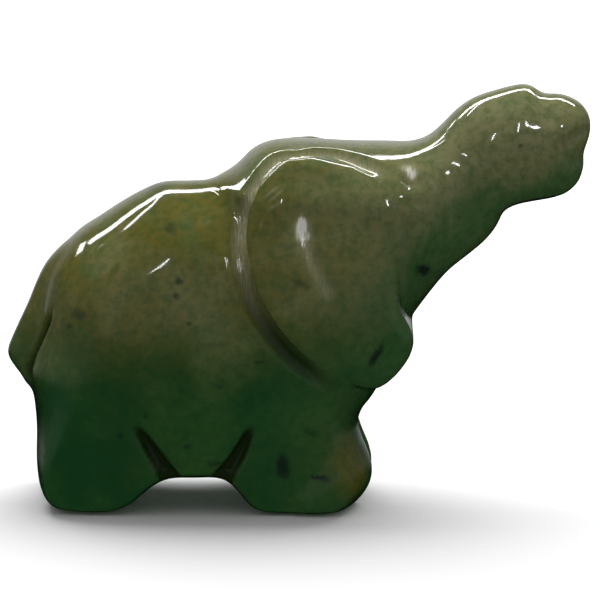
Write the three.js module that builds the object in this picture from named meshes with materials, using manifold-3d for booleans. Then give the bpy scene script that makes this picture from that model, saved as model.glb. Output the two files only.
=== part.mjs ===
// A small polished jade carving of an elephant with its trunk raised, cut from one piece of stone.
// Millimetres, +Z up. The elephant faces +X, its left side is +Y, and it stands on four short legs.
// The origin is the middle of its bounding box, on the floor.
//
// The stone is shaped the way a carver works. The side view is sawn out as outlines, each outline is
// rounded off across its width, the shapes run together, and a wheel then cuts the creases.

import * as THREE from "three";
import { mergeVertices } from "three/addons/utils/BufferGeometryUtils.js";
import Module from "manifold-3d";

const wasm = await Module();
wasm.setup();

// Driving sizes. The outlines and paths further down are hundredths of the length.
const LENGTH = 75; // back of the tail to the tip of the trunk
const BODY_WIDTH = 31; // across the barrel of the body at its widest
const FEET_WIDTH = 25; // across the outsides of the feet, at the floor
const HEAD_WIDTH = 28; // across the skull, under the ears
const EAR_SPREAD = 33; // across both ears at their widest
const EAR_TOP_SPREAD = 20; // across the ears' upper edges
const TRUNK_WIDTH = 16; // across the trunk where it leaves the face
const TRUNK_TIP_WIDTH = 12.5; // across the trunk at its tip
const TAIL_WIDTH = 6; // across the tail
const TOES_WIDTH = 28; // across the toes of the front feet, where the legs are at their widest
const LEG_GAP = 4.6; // between the left and the right legs
const GAP_ROUNDING = 1.2; // of the corners of the slot that parts them

// How far in from an outline the stone reaches its full width.
const BACK_ROUNDING = 9;
const FOOT_ROUNDING = 1.3;
const HEAD_ROUNDING = 7.5;
const TIP_ROUNDING = 5;
const EAR_EDGE = 1.1;
const TAIL_ROUNDING = 2.4;
const TOE_ROUNDING = 4;

// How softly two shapes run into each other.
const NECK_BLEND = 3;
const TAIL_BLEND = 1.6;
const TOE_BLEND = 2;
const EAR_BLEND = 0.5;

// Width and depth of each cut of the wheel.
const EAR_CUT = { width: 2.4, depth: 1 };
const FOLD_CUT = { width: 2.6, depth: 0.6 };
const FACE_CUT = { width: 1.4, depth: 0.45 };
const LEG_CUT = { width: 2.6, depth: 0.9 };
const TAIL_CUT = { width: 1.5, depth: 0.8 };
const MOUTH_CUT = { width: 1.6, depth: 0.25 };
const EYE_CUT = { width: 2.2, depth: 0.5 };

// The wheel is followed in steps, rises over some of them, and ends clear of the stone by a part of
// its depth.
const WHEEL_STEP = 2.2;
const WHEEL_RISE = 2.5;
const WHEEL_CLEARANCE = 0.2;

// Spacing of the mesh along and up the body, and across it, and the length over which slopes are read.
const SIDE_STEP = 1.9;
const CROSS_STEP = 3.1;
const PROBE = 0.05;

const share = LENGTH / 100;
const toLength = (points) => points.map(([x, z]) => new THREE.Vector3(x * share, 0, z * share));

// Body and legs, from the root of the tail down the hind leg, along the belly and up the chest and back.
const BODY = toLength([
  [-46.1, 23.7], [-45.6, 20.1], [-45.1, 16.4], [-44.9, 12.5], [-44.9, 7.6], [-44.3, 3.6], [-42.4, 0.5],
  [-38.2, -0.6], [-31.9, -0.6], [-27.8, 1.2], [-25.0, 3.6], [-22.0, 5.2], [-17.4, 5.4], [-12.7, 5.2],
  [-10.4, 3.2], [-7.6, 0.2], [-2.3, -1.1], [6.2, -0.7], [9.2, 1.2], [10.4, 5.8], [10.4, 10.8],
  [10.6, 14.1], [11.3, 17.1], [12.3, 18.9], [13.6, 24.3], [12.4, 34.7], [7.1, 45.1], [-1.5, 51.7],
  [-8.3, 54.2], [-14.3, 55.4], [-18.5, 55.4], [-23.2, 55.2], [-26.8, 53.7], [-30.3, 51.7], [-33.9, 49.3],
  [-37.4, 47.0], [-40.4, 43.8], [-42.6, 40.2], [-43.7, 35.6], [-44.6, 30.4],
]);

// The front feet's toes.
const TOES = toLength([
  [9.9, 13.0], [11.3, 11.4], [12.6, 9.2], [13.3, 6.8], [13.2, 4.2], [11.8, 1.6], [8.0, -1.2],
  [0.3, -1.1], [-1.5, 2.4], [2.0, 7.3], [6.2, 12.0],
]);

// Neck, skull, raised trunk with its notched tip, and the jaw under it.
const HEAD = toLength([
  [-10.0, 43.4], [-12.0, 52.1], [-12.7, 55.6], [-11.4, 57.2], [-9.6, 58.9], [-8.1, 60.5], [-5.9, 61.8],
  [-3.0, 62.5], [2.0, 62.6], [7.9, 62.3], [14.8, 62.2], [20.2, 62.3], [22.9, 63.5], [25.1, 65.5],
  [27.1, 67.6], [29.1, 69.2], [31.2, 70.3], [34.3, 71.3], [37.9, 72.2], [40.1, 72.2], [41.6, 71.2],
  [42.9, 70.6], [44.8, 70.7], [47.0, 70.1], [49.0, 68.9], [50.2, 67.1], [50.6, 64.9], [50.1, 62.7],
  [49.3, 60.1], [49.6, 57.6], [48.9, 55.4], [47.0, 53.8], [44.1, 52.7], [40.7, 52.1], [37.6, 51.4],
  [35.7, 50.3], [34.6, 48.0], [32.7, 45.5], [29.7, 42.9], [26.1, 40.0], [23.0, 36.4], [20.8, 33.5],
  [18.7, 30.8], [17.2, 26.9], [14.9, 22.6], [12.0, 19.0], [7.9, 17.4], [0.3, 20.8], [-6.2, 29.5],
]);

const EAR = toLength([
  [-1.3, 61.5], [1.1, 61.8], [4.5, 61.2], [8.3, 60.2], [11.9, 58.5], [14.6, 56.3], [16.4, 53.6],
  [17.2, 50.0], [17.3, 44.9], [17.3, 39.4], [17.8, 36.0], [18.9, 33.8], [20.0, 31.5], [19.8, 28.9],
  [18.5, 26.4], [16.8, 24.3], [14.8, 22.7], [12.6, 21.9], [9.8, 23.3], [7.0, 24.7], [3.9, 26.5],
  [1.0, 28.7], [-1.9, 31.7], [-4.3, 34.9], [-6.4, 38.2], [-7.8, 41.9], [-8.6, 46.1], [-8.4, 50.2],
  [-7.6, 54.0], [-5.7, 57.2], [-3.6, 59.8],
]);

const TAIL = toLength([
  [-39.1, 44.0], [-42.5, 41.8], [-44.5, 38.7], [-46.2, 34.7], [-47.8, 31.2], [-49.3, 27.9],
  [-50.0, 25.6], [-48.9, 23.5], [-47.5, 21.7], [-46.5, 20.3], [-45.4, 20.5], [-44.2, 24.3],
  [-42.5, 29.5], [-39.7, 34.7], [-36.7, 40.3],
]);

// Paths of the wheel over the near side, each cut again on the far side.
const AROUND_EAR = toLength([
  [15.9, 58.0], [13.6, 59.3], [10.4, 60.6], [6.3, 61.5], [1.9, 61.8], [-1.8, 61.5], [-4.5, 60.2],
  [-6.8, 57.8], [-8.6, 54.5], [-9.5, 50.4], [-9.7, 46.1], [-8.9, 41.5], [-7.4, 37.4], [-5.3, 34.0],
  [-3.1, 31.0], [-0.6, 28.3], [2.3, 26.0], [5.3, 24.1], [8.6, 22.6],
]);
const EAR_FOLD = toLength([[0.3, 54.4], [0.8, 51.7], [1.5, 47.9], [2.8, 44.4], [4.7, 40.7], [6.4, 37.4]]);
const BEFORE_EAR = toLength([
  [15.6, 56.2], [17.3, 53.7], [18.1, 49.9], [18.2, 44.7], [18.1, 39.4], [18.3, 36.8],
]);
const BEHIND_BELLY = toLength([[-27.4, 16.2], [-25.7, 13.3], [-23.9, 10.7], [-22.4, 8.2]]);
const BEFORE_BELLY = toLength([[-7.6, 16.2], [-8.6, 13.3], [-10.0, 10.6], [-11.7, 8.2]]);
const BESIDE_TAIL = toLength([
  [-41.3, 36.1], [-42.6, 32.6], [-43.8, 29.5], [-45.0, 26.4], [-45.9, 23.4], [-46.4, 20.1],
]);
const MOUTH = toLength([[43.6, 61.9], [45.4, 62.9], [47.1, 63.9], [48.8, 64.8], [50.3, 65.0]]);
const EYE = toLength([[19.4, 58.9], [20.0, 57.6], [20.6, 56.4]]);

// Heights and places where the widths change, also hundredths of the length.
const FOOT_HEIGHT = 2 * share;
const BARREL_HEIGHT = 30 * share;
const WIDEST_HEIGHT = 29.6 * share;
const BACK_HEIGHT = 55.8 * share;
const EAR_WIDEST_HEIGHT = 34 * share;
const EAR_TOP_HEIGHT = 62 * share;
const EAR_LOW_HEIGHT = 22 * share;
const EAR_MIDDLE = 4 * share;
const EAR_REACH = 14 * share;
const FACE_BACK = 16 * share;
const FACE_FRONT = 30 * share;
const TIP_BACK = 34 * share;
const TIP_FRONT = 50 * share;
const BODY_MIDDLE = -17 * share;
const BODY_REACH = 28 * share;
const SLOT_HEIGHT = 5.5 * share;
const SLOT_END_HEIGHT = 20 * share;
const SLOT_REACH = 35 * share;

// Narrowing of the widths towards an edge, as parts of the width.
const BACK_NARROWING = 0.3;
const RUMP_NARROWING = 0.08;
const EAR_FRONT_TURN = 0.11;
const EAR_REAR_TURN = 0.03;
const EAR_TIP_TURN = 0.1;

const smoothMin = (a, b, blend) => {
  const near = Math.max(blend - Math.abs(a - b), 0) / blend;
  return Math.min(a, b) - (near * near * blend) / 4;
};
const { clamp, lerp, smoothstep } = THREE.MathUtils;

// How far a place in the side view is inside an outline, and negative outside it.
function insetFrom(outline) {
  const line = new THREE.CatmullRomCurve3(outline, true, "centripetal").getPoints(outline.length * 4);
  return (x, z) => {
    let nearest = Infinity;
    let inside = false;
    for (let i = 1; i < line.length; i++) {
      const [a, b] = [line[i - 1], line[i]];
      const [dx, dz] = [b.x - a.x, b.z - a.z];
      const along = ((x - a.x) * dx + (z - a.z) * dz) / (dx * dx + dz * dz);
      const t = Math.min(Math.max(along, 0), 1);
      nearest = Math.min(nearest, Math.hypot(x - a.x - t * dx, z - a.z - t * dz));
      if (a.z > z !== b.z > z && x < a.x + ((z - a.z) / dz) * dx) inside = !inside;
    }
    return inside ? nearest : -nearest;
  };
}

// An outline with a width: how far outside its rounded form a point is, across being its distance
// from the middle plane.
function rounded(inset, halfWidth, rounding, across) {
  const edge = Math.max(1 - inset / rounding, 0);
  return (Math.hypot(across / halfWidth, edge) - 1) * Math.min(halfWidth, rounding);
}

const insets = {
  body: insetFrom(BODY),
  toes: insetFrom(TOES),
  head: insetFrom(HEAD),
  ear: insetFrom(EAR),
  tail: insetFrom(TAIL),
};

function bodyHalfWidth(x, z) {
  const up = clamp((z - WIDEST_HEIGHT) / (BACK_HEIGHT - WIDEST_HEIGHT), 0, 1);
  const down = clamp((WIDEST_HEIGHT - z) / WIDEST_HEIGHT, 0, 1);
  const along = clamp((x - BODY_MIDDLE) / BODY_REACH, -1, 1);
  const turn = BACK_NARROWING * up * up + RUMP_NARROWING * along * along;
  return (lerp(BODY_WIDTH, FEET_WIDTH, down * down) / 2) * (1 - turn);
}

function headHalfWidth(x) {
  const face = lerp(HEAD_WIDTH, TRUNK_WIDTH, smoothstep(x, FACE_BACK, FACE_FRONT));
  return lerp(face, TRUNK_TIP_WIDTH, smoothstep(x, TIP_BACK, TIP_FRONT)) / 2;
}

function earHalfWidth(x, z) {
  const up = clamp((z - EAR_WIDEST_HEIGHT) / (EAR_TOP_HEIGHT - EAR_WIDEST_HEIGHT), 0, 1);
  const down = clamp((EAR_WIDEST_HEIGHT - z) / (EAR_WIDEST_HEIGHT - EAR_LOW_HEIGHT), 0, 1);
  const along = clamp((x - EAR_MIDDLE) / EAR_REACH, -1, 1);
  const turn = (along > 0 ? EAR_FRONT_TURN : EAR_REAR_TURN) * along * along + EAR_TIP_TURN * down * down;
  return (lerp(EAR_SPREAD, EAR_TOP_SPREAD, up * up) / 2) * (1 - turn);
}

// The whole stone above one place of the side view, as a function of the distance across.
function stoneAt(x, z) {
  const inset = Object.fromEntries(Object.entries(insets).map(([name, from]) => [name, from(x, z)]));
  const low = smoothstep(z, FOOT_HEIGHT, BARREL_HEIGHT);
  const backRounding = lerp(FOOT_ROUNDING, BACK_ROUNDING, low);
  const headRounding = lerp(HEAD_ROUNDING, TIP_ROUNDING, smoothstep(x, TIP_BACK, TIP_FRONT));
  const widths = { body: bodyHalfWidth(x, z), head: headHalfWidth(x), ear: earHalfWidth(x, z) };
  return (across) => {
    const body = rounded(inset.body, widths.body, backRounding, across);
    const head = rounded(inset.head, widths.head, headRounding, across);
    const toes = rounded(inset.toes, widths.body * (TOES_WIDTH / BODY_WIDTH), TOE_ROUNDING, across);
    const tail = rounded(inset.tail, TAIL_WIDTH / 2, TAIL_ROUNDING, across);
    const ear = rounded(inset.ear, widths.ear, EAR_EDGE, across);
    let stone = smoothMin(body, head, NECK_BLEND);
    stone = smoothMin(stone, toes, TOE_BLEND);
    stone = smoothMin(stone, tail, TAIL_BLEND);
    return smoothMin(stone, ear, EAR_BLEND);
  };
}

const distanceAt = (p) => stoneAt(p.x, p.z)(Math.abs(p.y));

function slopeAt(p) {
  const side = (axis) => {
    const step = new THREE.Vector3().setComponent(axis, PROBE);
    return (distanceAt(p.clone().add(step)) - distanceAt(p.clone().sub(step))) / (2 * PROBE);
  };
  return new THREE.Vector3(side(0), side(1), side(2));
}

// The closed skin where a distance is zero: one corner in each cell of a grid that the skin passes
// through, and one four-sided face across each grid edge that it crosses.
function skinOf({ min, max }) {
  const steps = [SIDE_STEP, CROSS_STEP, SIDE_STEP];
  const low = new THREE.Vector3(min.x - 2 * SIDE_STEP, 0, min.z - 2 * SIDE_STEP);
  const rows = Math.ceil(max.y / CROSS_STEP) + 2;
  low.y = -rows * CROSS_STEP;
  const nx = Math.ceil((max.x - min.x) / SIDE_STEP) + 5;
  const ny = 2 * rows + 1;
  const nz = Math.ceil((max.z - min.z) / SIDE_STEP) + 5;
  const place = (i, j, k) => new THREE.Vector3(low.x + i * steps[0], low.y + j * steps[1], low.z + k * steps[2]);
  const at = (i, j, k) => (k * ny + j) * nx + i;
  const values = new Float32Array(nx * ny * nz);
  for (let k = 0; k < nz; k++)
    for (let i = 0; i < nx; i++) {
      const stone = stoneAt(low.x + i * steps[0], low.z + k * steps[2]);
      for (let j = 0; j < ny; j++) values[at(i, j, k)] = stone(Math.abs(low.y + j * steps[1]));
    }

  const corners = [];
  const cornerOf = new Map();
  const cube = [0, 1, 2, 3, 4, 5, 6, 7].map((n) => [n & 1, (n >> 1) & 1, n >> 2]);
  const edges = [];
  for (let a = 0; a < 8; a++) for (const bit of [1, 2, 4]) if (!(a & bit)) edges.push([a, a | bit]);
  for (let k = 0; k < nz - 1; k++)
    for (let j = 0; j < ny - 1; j++)
      for (let i = 0; i < nx - 1; i++) {
        const value = cube.map(([u, v, w]) => values[at(i + u, j + v, k + w)]);
        const crossed = edges.filter(([a, b]) => value[a] < 0 !== value[b] < 0);
        if (!crossed.length) continue;
        const middle = new THREE.Vector3();
        for (const [a, b] of crossed) {
          const from = place(i + cube[a][0], j + cube[a][1], k + cube[a][2]);
          const to = place(i + cube[b][0], j + cube[b][1], k + cube[b][2]);
          middle.add(from.lerp(to, value[a] / (value[a] - value[b])));
        }
        cornerOf.set(at(i, j, k), corners.length);
        corners.push(onSkin(middle.divideScalar(crossed.length)));
      }

  const index = [];
  const face = (a, b, c, d, flip) => {
    const [p, q, r, s] = [a, b, c, d].map((n) => corners[n]);
    const halves = p.distanceTo(r) < q.distanceTo(s) ? [a, b, c, a, c, d] : [b, c, d, b, d, a];
    index.push(...(flip ? halves.reverse() : halves));
  };
  const stride = [[1, 0, 0], [0, 1, 0], [0, 0, 1]];
  for (let k = 1; k < nz - 1; k++)
    for (let j = 1; j < ny - 1; j++)
      for (let i = 1; i < nx - 1; i++)
        for (let axis = 0; axis < 3; axis++) {
          const here = values[at(i, j, k)] < 0;
          const [u, v, w] = stride[axis];
          if (here === values[at(i + u, j + v, k + w)] < 0) continue;
          const [b, c] = [stride[(axis + 1) % 3], stride[(axis + 2) % 3]];
          const cell = (m, n) =>
            cornerOf.get(at(i - m * b[0] - n * c[0], j - m * b[1] - n * c[1], k - m * b[2] - n * c[2]));
          face(cell(1, 1), cell(0, 1), cell(0, 0), cell(1, 0), !here);
        }
  return new THREE.BufferGeometry().setFromPoints(corners).setIndex(index);
}

// Moves a point near the skin onto it.
function onSkin(point) {
  for (let i = 0; i < 3; i++) {
    const slope = slopeAt(point);
    point.addScaledVector(slope, -distanceAt(point) / Math.max(slope.lengthSq(), 0.05));
  }
  return point;
}

function solidFrom(geometry) {
  const bare = geometry.clone();
  for (const name of ["normal", "uv"]) bare.deleteAttribute(name);
  const merged = mergeVertices(bare);
  return new wasm.Manifold(
    new wasm.Mesh({
      numProp: 3,
      vertProperties: merged.attributes.position.array,
      triVerts: new Uint32Array(merged.index.array),
    }),
  );
}

function geometryFrom(solid) {
  const { vertProperties, triVerts } = solid.getMesh();
  return new THREE.BufferGeometry()
    .setAttribute("position", new THREE.BufferAttribute(vertProperties, 3))
    .setIndex(new THREE.BufferAttribute(triVerts, 1));
}

// The point of the near side's skin at a place of the side view, or of the middle plane beyond it.
function nearSide({ x, z }) {
  const stone = stoneAt(x, z);
  let across = EAR_SPREAD;
  while (across > 0 && stone(across) > 0) across -= PROBE;
  return new THREE.Vector3(x, -Math.max(across, 0), z);
}

// A round-edged wheel run along a path. It rises out of the stone at both ends of the path, or only at
// its start where it goes on round to the other side's path.
function wheelCut(path, { width, depth }, goesRound = false) {
  const radius = (width * width) / (8 * depth) + depth / 2;
  const track = new THREE.CatmullRomCurve3(path, false, "centripetal");
  const count = Math.ceil(track.getLength() / WHEEL_STEP);
  const lifted = track.getSpacedPoints(count).map((place, n) => {
    const fromEnd = goesRound ? n : Math.min(n, count - n);
    const bite = lerp(-WHEEL_CLEARANCE, 1, smoothstep(fromEnd, 0, WHEEL_RISE)) * depth;
    const skin = nearSide(place);
    return skin.addScaledVector(slopeAt(skin).normalize(), radius - bite);
  });
  const centres = lifted.map((point, n) => {
    const [before, after] = [lifted[Math.max(n - 1, 0)], lifted[Math.min(n + 1, count)]];
    return before.clone().add(after).lerp(point.clone().multiplyScalar(2), 0.5).divideScalar(2);
  });
  const across = centres.map(({ x, y, z }) => new THREE.Vector3(x, -y, z));
  const wheel = new THREE.Shape().absarc(0, 0, radius, 0, 2 * Math.PI);
  const sweep = (points) =>
    solidFrom(
      new THREE.ExtrudeGeometry(wheel, {
        steps: points.length - 1,
        curveSegments: 7,
        extrudePath: new THREE.CatmullRomCurve3(points, false, "centripetal"),
      }),
    );
  return goesRound ? [sweep([...centres, ...across.reverse().slice(1)])] : [sweep(centres), sweep(across)];
}

// The sawn slot between the left and the right legs, under an arch that rises towards both ends.
function legSlot() {
  const [front, rear] = [BODY_MIDDLE + SLOT_REACH, BODY_MIDDLE - SLOT_REACH];
  const arch = new THREE.Shape()
    .moveTo(rear, -SLOT_END_HEIGHT)
    .lineTo(rear, SLOT_END_HEIGHT)
    .quadraticCurveTo(BODY_MIDDLE, 2 * SLOT_HEIGHT - SLOT_END_HEIGHT, front, SLOT_END_HEIGHT)
    .lineTo(front, -SLOT_END_HEIGHT);
  const slot = new THREE.ExtrudeGeometry(arch, {
    depth: LEG_GAP - 2 * GAP_ROUNDING,
    curveSegments: 14,
    bevelThickness: GAP_ROUNDING,
    bevelSize: GAP_ROUNDING,
    bevelOffset: -GAP_ROUNDING,
    bevelSegments: 3,
  });
  return solidFrom(slot.translate(0, 0, GAP_ROUNDING - LEG_GAP / 2).rotateX(Math.PI / 2));
}

function carve() {
  const block = new THREE.Box3().setFromPoints([...BODY, ...TOES, ...HEAD, ...EAR, ...TAIL]);
  block.max.y = Math.max(BODY_WIDTH, FEET_WIDTH, HEAD_WIDTH, EAR_SPREAD) / 2;
  let stone = solidFrom(skinOf(block));

  const cuts = [
    ...wheelCut(AROUND_EAR, EAR_CUT),
    ...wheelCut(EAR_FOLD, FOLD_CUT),
    ...wheelCut(BEFORE_EAR, FACE_CUT),
    ...wheelCut(BEHIND_BELLY, LEG_CUT),
    ...wheelCut(BEFORE_BELLY, LEG_CUT),
    ...wheelCut(BESIDE_TAIL, TAIL_CUT),
    ...wheelCut(MOUTH, MOUTH_CUT, true),
    ...wheelCut(EYE, EYE_CUT),
  ];
  for (const cut of [legSlot(), ...cuts]) stone = stone.subtract(cut);

  const floor = new THREE.BoxGeometry(2 * LENGTH, 2 * LENGTH, LENGTH).translate(0, 0, -LENGTH / 2);
  return geometryFrom(stone.subtract(solidFrom(floor)));
}

const jade = new THREE.MeshStandardMaterial({ color: 0x4a4c26, roughness: 0.12, metalness: 0 });

function elephant() {
  const geometry = carve();
  geometry.computeBoundingBox();
  const middle = geometry.boundingBox.getCenter(new THREE.Vector3());
  geometry.translate(-middle.x, -middle.y, 0);
  const mesh = new THREE.Mesh(geometry, jade);
  mesh.name = "elephant";
  return mesh;
}

const carving = new THREE.Group();
carving.add(elephant());

export default carving;
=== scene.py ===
"""A small polished jade elephant, its trunk raised, standing on a pale studio floor.

The stone's own solid is copied, remeshed fine and drawn onto the rounded form that the side view's
outlines describe. The wheel's creases, the ear's fold and the eye are then cut into it, and a
procedural jade finish dresses it. Blender's unit here is the metre; the carving's sizes are in
millimetres and hundredths of its length, and are turned into metres at the end.
"""

import logging
import math
from dataclasses import dataclass, field
from enum import Enum

import bmesh
import bpy
import numpy as np
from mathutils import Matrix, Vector

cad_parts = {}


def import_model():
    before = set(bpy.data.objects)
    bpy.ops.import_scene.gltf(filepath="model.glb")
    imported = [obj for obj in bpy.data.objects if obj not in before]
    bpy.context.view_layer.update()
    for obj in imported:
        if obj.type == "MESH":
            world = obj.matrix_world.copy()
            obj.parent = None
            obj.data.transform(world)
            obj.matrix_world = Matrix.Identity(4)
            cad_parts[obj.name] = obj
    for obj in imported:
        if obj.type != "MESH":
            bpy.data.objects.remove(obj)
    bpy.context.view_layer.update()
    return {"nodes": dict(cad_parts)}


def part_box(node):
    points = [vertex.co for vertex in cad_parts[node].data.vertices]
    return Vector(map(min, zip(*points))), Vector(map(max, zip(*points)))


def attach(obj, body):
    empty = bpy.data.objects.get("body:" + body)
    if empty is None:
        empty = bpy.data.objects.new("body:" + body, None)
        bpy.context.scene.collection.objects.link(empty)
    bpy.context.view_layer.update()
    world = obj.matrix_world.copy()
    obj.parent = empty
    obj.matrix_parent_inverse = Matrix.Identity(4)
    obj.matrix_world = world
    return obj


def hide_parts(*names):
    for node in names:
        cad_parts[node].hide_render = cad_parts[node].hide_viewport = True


log = logging.getLogger("jade_elephant")

MM = 0.001
LENGTH = 75.0
SHARE = LENGTH / 100

NOISE_MIDDLE = 0.5
LAYERS = ("cut", "crease_shade", "frost_and_glint")

TRACK_ROUNDS = 6
MARK_MARGIN = 2.4
FADE_START = 0.3
UNSHADED_BLEND = 0.15

Array = np.ndarray
Socket = bpy.types.NodeSocket
Thing = bpy.types.Object
Pair = tuple[float, float]
Triple = tuple[float, float, float]
Colour = tuple[float, float, float, float]
Points = tuple[Pair, ...]


def smooth_step(low: float, high: float, value: Array) -> Array:
    """Rises smoothly from 0 at low to 1 at high.

    Args:
        low: Value at which the rise starts.
        high: Value at which it ends.
        value: Where to read it.

    Returns:
        The share of the rise at each value.
    """
    share = np.clip((value - low) / (high - low), 0.0, 1.0)
    return share * share * (3.0 - 2.0 * share)


def smooth_min(one: Array, other: Array, blend: float) -> Array:
    """The smaller of two distances, rounded where they are nearly alike.

    Args:
        one: First distance, in millimetres.
        other: Second distance.
        blend: How far apart they may be and still run together.

    Returns:
        The blended distance.
    """
    near = np.maximum(blend - np.abs(one - other), 0.0) / blend
    return np.minimum(one, other) - near * near * blend / 4.0


def smooth_max(one: Array, other: Array, blend: float) -> Array:
    """The larger of two distances, rounded where they are nearly alike.

    Args:
        one: First distance, in millimetres.
        other: Second distance.
        blend: How far apart they may be and still run together.

    Returns:
        The blended distance.
    """
    return -smooth_min(-one, -other, blend)


def flowing_line(points: Array, closed: bool, per_span: int) -> Array:
    """Draws a centripetal Catmull-Rom line through points.

    Args:
        points: The points, one a row.
        closed: Whether the last point joins the first.
        per_span: Points on the line for each given point.

    Returns:
        The line's points, one a row.
    """
    if closed:
        padded = np.vstack([points[-1:], points, points[:2]])
    else:
        padded = np.vstack([2 * points[0] - points[1], points, 2 * points[-1] - points[-2]])
    steps = np.linspace(0.0, 1.0, per_span, endpoint=False)
    line = []
    for a, b, c, d in zip(padded, padded[1:], padded[2:], padded[3:]):
        gaps = [max(np.linalg.norm(q - p), 1e-6) ** 0.5 for p, q in ((a, b), (b, c), (c, d))]
        ta, tb, tc, td = np.cumsum([0.0, *gaps])
        t = (tb + steps * (tc - tb))[:, None]
        ab = ((tb - t) * a + (t - ta) * b) / (tb - ta)
        bc = ((tc - t) * b + (t - tb) * c) / (tc - tb)
        cd = ((td - t) * c + (t - tc) * d) / (td - tc)
        abc = ((tc - t) * ab + (t - ta) * bc) / (tc - ta)
        bcd = ((td - t) * bc + (t - tb) * cd) / (td - tb)
        line.append(((tc - t) * abc + (t - tb) * bcd) / (tc - tb))
    if not closed:
        line.append(points[-1:])
    return np.vstack(line)


def placed(name: str, data: bpy.types.ID) -> Thing:
    """Makes an object from its data and links it into the scene.

    Args:
        name: The object's name.
        data: Its mesh, light or camera.

    Returns:
        The new object.
    """
    made = bpy.data.objects.new(name, data)
    bpy.context.scene.collection.objects.link(made)
    return made


@dataclass(frozen=True)
class Outline:
    """A closed outline sawn in the side view, in hundredths of the length.

    The distance from it is worked out once on a fine grid and read from there. The grid's step and
    its low and high corners are in millimetres.
    """

    points: Points
    grid_step: float = 0.25
    low: Pair = (-43.0, -4.0)
    high: Pair = (43.0, 60.0)
    last_cell: float = 1.001

    def inset_map(self) -> Array:
        """Works out how far each grid point is inside the outline.

        Returns:
            The inset in millimetres, negative outside, indexed by x then z.
        """
        line = flowing_line(np.array(self.points) * SHARE, closed=True, per_span=4)
        xs = np.arange(self.low[0], self.high[0], self.grid_step)
        zs = np.arange(self.low[1], self.high[1], self.grid_step)
        x, z = np.meshgrid(xs, zs, indexing="ij")
        nearest = np.full(x.shape, np.inf)
        inside = np.zeros(x.shape, dtype=bool)
        for a, b in zip(line, np.roll(line, -1, axis=0)):
            run = b - a
            t = np.clip(((x - a[0]) * run[0] + (z - a[1]) * run[1]) / (run @ run), 0.0, 1.0)
            away = (x - a[0] - t * run[0]) ** 2 + (z - a[1] - t * run[1]) ** 2
            nearest = np.minimum(nearest, away)
            if a[1] != b[1]:
                crossed = (a[1] > z) != (b[1] > z)
                inside ^= crossed & (x < a[0] + (z - a[1]) / run[1] * run[0])
        return np.where(inside, 1.0, -1.0) * np.sqrt(nearest)

    def read(self, grid: Array, x: Array, z: Array) -> Array:
        """Reads the inset between the grid's points.

        Args:
            grid: What inset_map gave.
            x: Places along the carving, in millimetres.
            z: Heights.

        Returns:
            The inset at each place.
        """
        u = np.clip((x - self.low[0]) / self.grid_step, 0, grid.shape[0] - self.last_cell)
        w = np.clip((z - self.low[1]) / self.grid_step, 0, grid.shape[1] - self.last_cell)
        i, k = u.astype(int), w.astype(int)
        u, w = u - i, w - k
        near = grid[i, k] * (1 - w) + grid[i, k + 1] * w
        far = grid[i + 1, k] * (1 - w) + grid[i + 1, k + 1] * w
        return near * (1 - u) + far * u


BODY = Outline((
    (-46.1, 23.7), (-45.6, 20.1), (-45.1, 16.4), (-44.9, 12.5), (-44.9, 7.6), (-44.3, 3.6), (-42.4, 0.5),
    (-38.2, -0.6), (-31.9, -0.6), (-27.8, 1.2), (-25.0, 3.6), (-22.0, 5.2), (-17.4, 5.4), (-12.7, 5.2),
    (-10.4, 3.2), (-7.6, 0.2), (-2.3, -1.1), (6.2, -0.7), (9.2, 1.2), (10.4, 5.8), (10.4, 10.8),
    (10.6, 14.1), (11.3, 17.1), (12.3, 18.9), (13.6, 24.3), (12.4, 34.7), (7.1, 45.1), (-1.5, 51.7),
    (-8.3, 54.2), (-14.3, 55.4), (-18.5, 55.4), (-23.2, 55.2), (-26.8, 53.7), (-30.3, 51.7),
    (-33.9, 49.3), (-37.4, 47.0), (-40.4, 43.8), (-42.6, 40.2), (-43.7, 35.6), (-44.6, 30.4),
))
TOES = Outline((
    (9.9, 13.0), (11.3, 11.4), (12.6, 9.2), (13.3, 6.8), (13.2, 4.2), (11.8, 1.6), (8.0, -1.2),
    (0.3, -1.1), (-1.5, 2.4), (2.0, 7.3), (6.2, 12.0),
))
HEAD = Outline((
    (-10.0, 43.4), (-12.0, 52.1), (-12.7, 55.6), (-11.4, 57.2), (-9.6, 58.9), (-8.1, 60.5), (-5.9, 61.8),
    (-3.0, 62.5), (2.0, 62.6), (7.9, 62.3), (14.8, 62.2), (20.2, 62.3), (22.9, 63.5), (25.1, 65.5),
    (27.1, 67.6), (29.1, 69.2), (31.2, 70.3), (34.3, 71.3), (37.9, 72.2), (40.1, 72.2), (41.6, 71.2),
    (42.9, 70.6), (44.8, 70.7), (47.0, 70.1), (49.0, 68.9), (50.2, 67.1), (50.6, 64.9), (50.1, 62.7),
    (49.3, 60.1), (49.6, 57.6), (48.9, 55.4), (47.0, 53.8), (44.1, 52.7), (40.7, 52.1), (37.6, 51.4),
    (35.7, 50.3), (34.6, 48.0), (32.7, 45.5), (29.7, 42.9), (26.1, 40.0), (23.0, 36.4), (20.8, 33.5),
    (18.7, 30.8), (17.2, 26.9), (14.9, 22.6), (12.0, 19.0), (7.9, 17.4), (0.3, 20.8), (-6.2, 29.5),
))
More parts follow.
